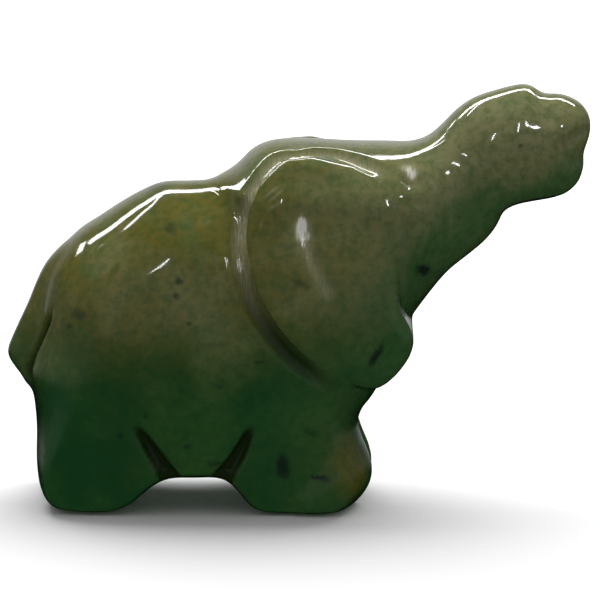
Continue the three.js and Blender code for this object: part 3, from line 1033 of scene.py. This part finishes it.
    def build(self) -> bpy.types.Material:
        """Lays out the jade's nodes.

        Returns:
            The finished material.
        """
        jade = bpy.data.materials.new("jade")
        g = Graph(jade)
        where = g.node("TexCoord").outputs["Object"]
        cut, crease_shade, frost_and_glint = (g.node("Attribute", {"attribute_name": name}).outputs["Fac"] for name in LAYERS)
        x, _, z = g.node("SeparateXYZ", Vector=where).outputs
        drift = g.math("SUBTRACT", g.noise(where, self.drift_grain), NOISE_MIDDLE)
        cloud = g.noise(where, self.cloud_grain)
        bed = Bed(where, drift, cloud, g.ramp(x, self.trunk_run), g.ramp(x, self.ahead_run))
        # Painted shade: olive above the clouded border as if lit from above, green below it as if in shade.
        lit_share = g.ramp(self.clouded_height(g, x, z, bed), self.lit_share_run)
        colour = g.mix(lit_share, self.lower(g, bed), self.upper(g, bed))
        # Painted light: the front toe is painted olive as if lit.
        from_lit_toe = g.vector("DISTANCE", where, i1=self.lit_toe_place).outputs["Value"]
        from_lit_toe = g.math("ADD", from_lit_toe, g.product(drift, self.lit_toe_unevenness))
        colour = g.mix(g.ramp(from_lit_toe, self.lit_toe_run), colour, self.olive)
        colour = g.mix(g.ramp(g.noise(where, self.fine_grain), self.clouding), colour, self.deep)
        patches = g.ramp(g.noise(where, self.patch_grain), self.patch_run)
        hairs = g.product(g.ramp(g.streaks(where, self.hairs), self.hair_run), patches)
        colour = g.mix(hairs, colour, self.pale)
        # Painted shade darkens the bottom of the creases.
        colour = g.mix(g.product(crease_shade, self.crease_shade_share), colour, self.crease_shade_colour)
        colour = g.mix(self.speck_mask(g, where), colour, self.dark)
        # Frost whitens scratched stone and paints highlights on the ear's fold and the eye.
        colour = self.whitened(g, bed, frost_and_glint, colour)
        shader = g.node(
            "BsdfPrincipled", Base_Color=colour, Roughness=self.dullness(g, bed, cut), IOR=self.ior,
            Subsurface_Weight=0.2, Subsurface_Radius=(0.4, 1.0, 0.45), Subsurface_Scale=0.0015,
            Normal=self.relief(g, bed, cut),
        )
        g.node("OutputMaterial", Surface=shader.outputs[0])
        return jade


@dataclass(frozen=True)
class StudioPaper:
    """Plain matt white paper, very slightly uneven."""

    colour: Colour = (0.93, 0.93, 0.93, 1.0)
    shade: Colour = (0.8, 0.8, 0.8, 1.0)
    grain: Grain = Grain(30.0)
    shading: Fade = Fade(0.3, 0.7, 0.0, 0.03)
    roughness: float = 0.9

    def build(self) -> bpy.types.Material:
        """Lays out the paper's nodes.

        Returns:
            The finished material.
        """
        paper = bpy.data.materials.new("studio_paper")
        g = Graph(paper)
        where = g.node("TexCoord").outputs["Object"]
        tint = g.mix(g.ramp(g.noise(where, self.grain), self.shading), self.colour, self.shade)
        shader = g.node("BsdfPrincipled", Base_Color=tint, Roughness=self.roughness)
        g.node("OutputMaterial", Surface=shader.outputs[0])
        return paper


@dataclass
class Carving:
    """The elephant itself, one piece of stone.

    Below the clear height the marks are cut from the sides only, so the belly and feet keep their
    outline. Shares tell how strongly the mesh is evened, and rounds how often.
    """

    stone: Stone = field(default_factory=Stone)
    marks: tuple[Mark, ...] = MARKS
    finish: Jade = field(default_factory=Jade)
    voxel: float = 0.36
    relax_rounds: int = 6
    relax_share: float = 0.5
    polish_rounds: int = 8
    cut_rounds: int = 4
    cut_share: float = 0.4
    most_whitening: float = 2.0
    clear_height: float = 13.0
    side_facing: Pair = (0.2, 0.65)

    def fine_mesh(self, node: Thing) -> bpy.types.Mesh:
        """Copies the solid's mesh and remeshes it fine.

        Args:
            node: The solid's own object.

        Returns:
            A new mesh of even small faces.
        """
        shape = bmesh.new()
        shape.from_mesh(node.data)
        bmesh.ops.remove_doubles(shape, verts=shape.verts, dist=1e-6)
        bmesh.ops.recalc_face_normals(shape, faces=shape.faces)
        rough = bpy.data.meshes.new("rough_stone")
        shape.to_mesh(rough)
        shape.free()
        holder = placed("rough_stone", rough)
        remesh = holder.modifiers.new("even", "REMESH")
        remesh.mode = "VOXEL"
        remesh.voxel_size = self.voxel * MM
        graph = bpy.context.evaluated_depsgraph_get()
        fine = bpy.data.meshes.new_from_object(holder.evaluated_get(graph))
        bpy.data.objects.remove(holder)
        bpy.data.meshes.remove(rough)
        return fine

    @staticmethod
    def evened(places: Array, edges: Array, share: float, rounds: int = 1) -> Array:
        """Moves each vertex towards the middle of its neighbours.

        Args:
            places: Vertex places, one a row.
            edges: Pairs of joined vertices.
            share: How far to move, from 0 to 1.
            rounds: How often.

        Returns:
            The moved places.
        """
        a, b = edges[:, 0], edges[:, 1]
        count = np.bincount(edges.ravel(), minlength=len(places)).astype(float)
        for _ in range(rounds):
            total = np.stack([
                np.bincount(a, places[b, axis], len(places)) + np.bincount(b, places[a, axis], len(places))
                for axis in range(3)
            ], axis=1)
            places = places + (total / np.maximum(count, 1.0)[:, None] - places) * share
        return places

    def drawn(self, places: Array, edges: Array) -> Array:
        """Draws the vertices onto the stone's skin and evens them.

        Args:
            places: Vertex places in millimetres.
            edges: Pairs of joined vertices.

        Returns:
            The new places.
        """
        for _ in range(self.relax_rounds):
            places = self.stone.settle(self.evened(places, edges, self.relax_share), 2)
        places = self.stone.settle(places, 4)
        return self.evened(places, edges, self.relax_share, self.polish_rounds)

    def carve(self, places: Array, edges: Array) -> tuple[Array, dict[str, Array]]:
        """Cuts the marks into the stone.

        Args:
            places: Vertex places on the stone, in millimetres.
            edges: Pairs of joined vertices.

        Returns:
            The new places, and how cut and how darkened by painted crease shade, from 0 to 1, and how
            whitened by frost and painted highlights, from 0 to the most whitening, each vertex is.
        """
        slope = self.stone.slope(places)
        outward = slope / np.maximum(np.linalg.norm(slope, axis=1), 1e-6)[:, None]
        near = places.copy()
        near[:, 1] = -np.abs(near[:, 1])
        depth = np.zeros(len(places))
        layers = {name: np.zeros(len(places)) for name in LAYERS}
        for mark in self.marks:
            cut, dark = mark.cut(self.stone, near)
            depth += cut
            share = np.clip(cut / mark.depth, 0.0, 1.0)
            light = 1.0 - dark if mark.clean > 0 else 1.0
            # Painted shade darkens the crease bottoms; the whitening is frost on scratched stone and painted
            # highlight on the ear's fold and the eye.
            crease_shade = np.minimum(mark.crease_shade * share * dark, 1.0)
            frost_and_glint = np.minimum(mark.frost_and_glint * share * light, self.most_whitening)
            for name, values in zip(LAYERS, (mark.matte * share, crease_shade, frost_and_glint)):
                layers[name] = np.maximum(layers[name], values)
            log.info("mark %s: deepest %.2f mm", mark.name, float(cut.max()))
        beside = smooth_step(*self.side_facing, np.abs(outward[:, 1]))
        depth *= np.where(near[:, 2] > self.clear_height, 1.0, beside)
        places = places - outward * depth[:, None]
        return self.evened(places, edges, self.cut_share, self.cut_rounds), layers

    @staticmethod
    def fitted(places: Array) -> Array:
        """Keeps the carving inside its solid's box and stands it on the floor.

        Args:
            places: Vertex places in millimetres.

        Returns:
            The moved places, shrunk if they would stick out.
        """
        low, high = (np.array(corner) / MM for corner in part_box("elephant"))
        least, most = places.min(axis=0), places.max(axis=0)
        middle = (most + least) / 2
        middle[1:] = (0.0, least[2])
        fit = min(1.0, float(((high - low) / (most - least)).min()))
        places = (places - middle) * fit
        places[:, 2] = np.clip(places[:, 2], low[2], high[2])
        log.info("carving: fitted by %.4f, shifted %.3f mm", fit, -middle[0])
        return places

    def build(self, node: Thing) -> Thing:
        """Builds the carving from its solid.

        Args:
            node: The solid's own object.

        Returns:
            The finished object, at the origin, unturned and unscaled.
        """
        mesh = self.fine_mesh(node)
        mesh.name = "carved_elephant"
        places = np.empty(len(mesh.vertices) * 3)
        mesh.vertices.foreach_get("co", places)
        edges = np.empty(len(mesh.edges) * 2, dtype=int)
        mesh.edges.foreach_get("vertices", edges)
        places, edges = places.reshape(-1, 3) / MM, edges.reshape(-1, 2)
        self.stone.saw()
        places, layers = self.carve(self.drawn(places, edges), edges)
        mesh.vertices.foreach_set("co", (self.fitted(places) * MM).ravel())
        for name, values in layers.items():
            mesh.attributes.new(name, "FLOAT", "POINT").data.foreach_set("value", values)
        mesh.update()
        mesh.materials.clear()
        mesh.materials.append(self.finish.build())
        mesh.shade_smooth()
        return placed("carved_elephant", mesh)


@dataclass
class Sweep:
    """The studio's paper: a floor that curves up behind the carving."""

    width: float = 3.0
    front: float = -1.2
    back: float = 0.9
    height: float = 1.6
    curve: float = 0.5
    paper: StudioPaper = field(default_factory=StudioPaper)

    @staticmethod
    def drag(shape: bmesh.types.BMesh, edges: list, by: Triple) -> list:
        """Drags edges out into new faces.

        Args:
            shape: The mesh that they are in.
            edges: The edges.
            by: How far they go.

        Returns:
            The far edges with their ends.
        """
        run = bmesh.ops.extrude_edge_only(shape, edges=edges)["geom"]
        ends = [v for v in run if isinstance(v, bmesh.types.BMVert)]
        bmesh.ops.translate(shape, verts=ends, vec=by)
        return [e for e in run if isinstance(e, bmesh.types.BMEdge)] + ends

    def build(self) -> Thing:
        """Spins the floor's edge up into the backdrop.

        Returns:
            The finished object.
        """
        shape = bmesh.new()
        left, right = (shape.verts.new((side * self.width / 2, self.front, 0.0)) for side in (-1, 1))
        edge = shape.edges.new((left, right))
        run = self.drag(shape, [edge], (0.0, self.back - self.front, 0.0))
        turned = bmesh.ops.spin(
            shape, geom=run, cent=(0.0, self.back, self.curve), axis=(1.0, 0.0, 0.0),
            angle=math.pi / 2, steps=24, use_duplicate=False,
        )["geom_last"]
        self.drag(shape, [e for e in turned if isinstance(e, bmesh.types.BMEdge)], (0.0, 0.0, self.height))
        bmesh.ops.recalc_face_normals(shape, faces=shape.faces)
        mesh = bpy.data.meshes.new("paper_sweep")
        shape.to_mesh(mesh)
        shape.free()
        mesh.shade_smooth()
        mesh.materials.append(self.paper.build())
        sweep = placed("paper_sweep", mesh)
        sweep.visible_glossy = False
        sweep.visible_diffuse = False
        return sweep


@dataclass
class Softbox:
    """A white rectangular studio light, aimed near the carving.

    Power is in watts, roll in degrees. It is either mirrored in the stone or gives diffuse light, and
    is kept to the collection that lit names.
    """

    name: str
    place: Triple
    size: Pair
    power: float
    aim: Triple = (0.0, 0.0, 0.03)
    roll: float = 0.0
    mirrored: bool = True
    lit: str = "stone"

    def build(self, stage: dict[str, bpy.types.Collection]) -> Thing:
        """Makes the light and places it.

        Args:
            stage: What a light may be kept to, by name.

        Returns:
            The light's object.
        """
        light = bpy.data.lights.new(self.name, "AREA")
        light.shape = "RECTANGLE"
        light.size, light.size_y = self.size
        light.energy = self.power
        lamp = placed(self.name, light)
        lamp.location = self.place
        ray = Vector(self.aim) - Vector(self.place)
        turn = ray.to_track_quat("-Z", "Y").to_euler()
        turn.rotate_axis("Z", math.radians(self.roll))
        lamp.rotation_euler = turn
        lamp.visible_glossy = self.mirrored
        lamp.visible_diffuse = not self.mirrored
        lamp.light_linking.receiver_collection = stage[self.lit]
        return lamp


LIGHTS = (
    Softbox("overhead", (0.0, 0.20, 0.60), (0.8, 0.7), 4.6, mirrored=False),
    Softbox("paper_light", (0.05, 0.38, 0.62), (0.9, 0.8), 8.6, aim=(0.0, 0.0, 0.0), mirrored=False,
            lit="paper"),
    Softbox("strip_upper", (-0.03, 0.62, 0.60), (1.02, 0.085), 3.5),
    Softbox("strip_lower", (-0.30, 0.55, 0.68), (0.54, 0.03), 0.8, roll=10.0),
    Softbox("window", (-0.60, 0.66, 0.50), (0.14, 0.10), 0.5),
    Softbox("lamp_left", (-0.19, -0.60, 0.50), (0.020, 0.16), 0.23),
    Softbox("lamp_right", (0.13, -0.58, 0.53), (0.045, 0.24), 0.70),
    Softbox("lamp_front", (0.37, -0.42, 0.50), (0.06, 0.10), 0.40),
)


@dataclass
class Viewpoint:
    """The photographer's place: nearly level with the carving and square to its side."""

    elevation: float = 10.0
    distance: float = 0.9
    picture_width: float = 0.0769
    aim: Triple = (0.0002, 0.0, 0.0258)
    sensor: float = 36.0
    clip: Pair = (0.01, 20.0)

    def build(self) -> Thing:
        """Makes the camera, points it and makes it the scene's own.

        Returns:
            The camera's object.
        """
        lens = bpy.data.cameras.new("viewpoint")
        lens.sensor_width = self.sensor
        lens.lens = self.sensor * self.distance / self.picture_width
        lens.clip_start, lens.clip_end = self.clip
        camera = placed("viewpoint", lens)
        tilt = math.radians(self.elevation)
        away = Vector((0.0, -math.cos(tilt), math.sin(tilt))) * self.distance
        camera.location = Vector(self.aim) + away
        camera.rotation_euler = (-away).to_track_quat("-Z", "Y").to_euler()
        bpy.context.scene.camera = camera
        return camera


@dataclass(frozen=True)
class Room:
    """The even light of the room, and what the polished stone mirrors of it by a ray's direction.

    Behind the stone is pale paper, brightest near the horizon and dimmer at both sides. In front is a
    dim wall whose mirror image ends halfway down the barrel.
    """

    ambient: float = 0.42
    behind: Fade = Fade(0.1, 0.75)
    paper: Fade = Fade(0.2, 0.6, 0.56, 0.05)
    paper_foot: Fade = Fade(-0.2, -0.06)
    paper_left: Fade = Fade(-0.7, -0.25, 0.12, 1.0)
    paper_right: Fade = Fade(0.12, 0.5, 1.0, 0.1)
    wall: Fade = Fade(-0.05, 0.6, 0.10, 0.06)
    wall_foot: Fade = Fade(-0.26, -0.02)

    def build(self) -> None:
        """Lays out the room's nodes and makes it the scene's own."""
        world = bpy.data.worlds.new("room")
        g = Graph(world)
        x, y, z = g.node("SeparateXYZ", Vector=g.node("TexCoord").outputs["Generated"]).outputs
        behind = g.ramp(y, self.behind)
        sides = g.product(g.ramp(x, self.paper_left), g.ramp(x, self.paper_right))
        paper = g.product(g.ramp(z, self.paper), g.ramp(z, self.paper_foot), sides)
        wall = g.product(g.ramp(z, self.wall), g.ramp(z, self.wall_foot))
        mirrored = self.either(g, behind, paper, wall)
        glossy = g.node("LightPath").outputs["Is Glossy Ray"]
        strength = self.either(g, glossy, mirrored, self.ambient)
        background = g.node("Background", Color=(1.0, 1.0, 1.0, 1.0), Strength=strength)
        g.node("OutputWorld", Surface=background.outputs[0])
        bpy.context.scene.world = world

    @staticmethod
    def either(g: Graph, share: object, one: object, other: object) -> Socket:
        """Gives one brightness by its share and the other for the rest.

        Args:
            g: The room's graph.
            share: The share of the one.
            one: A brightness.
            other: Another.

        Returns:
            The mixed brightness.
        """
        rest = g.math("SUBTRACT", 1.0, share)
        return g.math("ADD", g.product(share, one), g.product(rest, other))


def main() -> None:
    """Builds the carving, the studio and the camera in order."""
    logging.basicConfig(level=logging.INFO, format="%(name)s: %(message)s")
    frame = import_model()
    carving = Carving().build(frame["nodes"]["elephant"])
    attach(carving, "root")
    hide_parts("elephant")
    sweep = Sweep().build()
    stage = {"stone": bpy.data.collections.new("stone"), "paper": bpy.data.collections.new("paper")}
    stage["stone"].objects.link(carving)
    stage["paper"].objects.link(sweep)
    for light in LIGHTS:
        log.info("light: %s", light.build(stage).name)
    Room().build()
    bpy.context.scene.view_settings.view_transform = "Standard"
    log.info("camera: %s", Viewpoint().build().name)


if __name__ == "__main__":
    main()
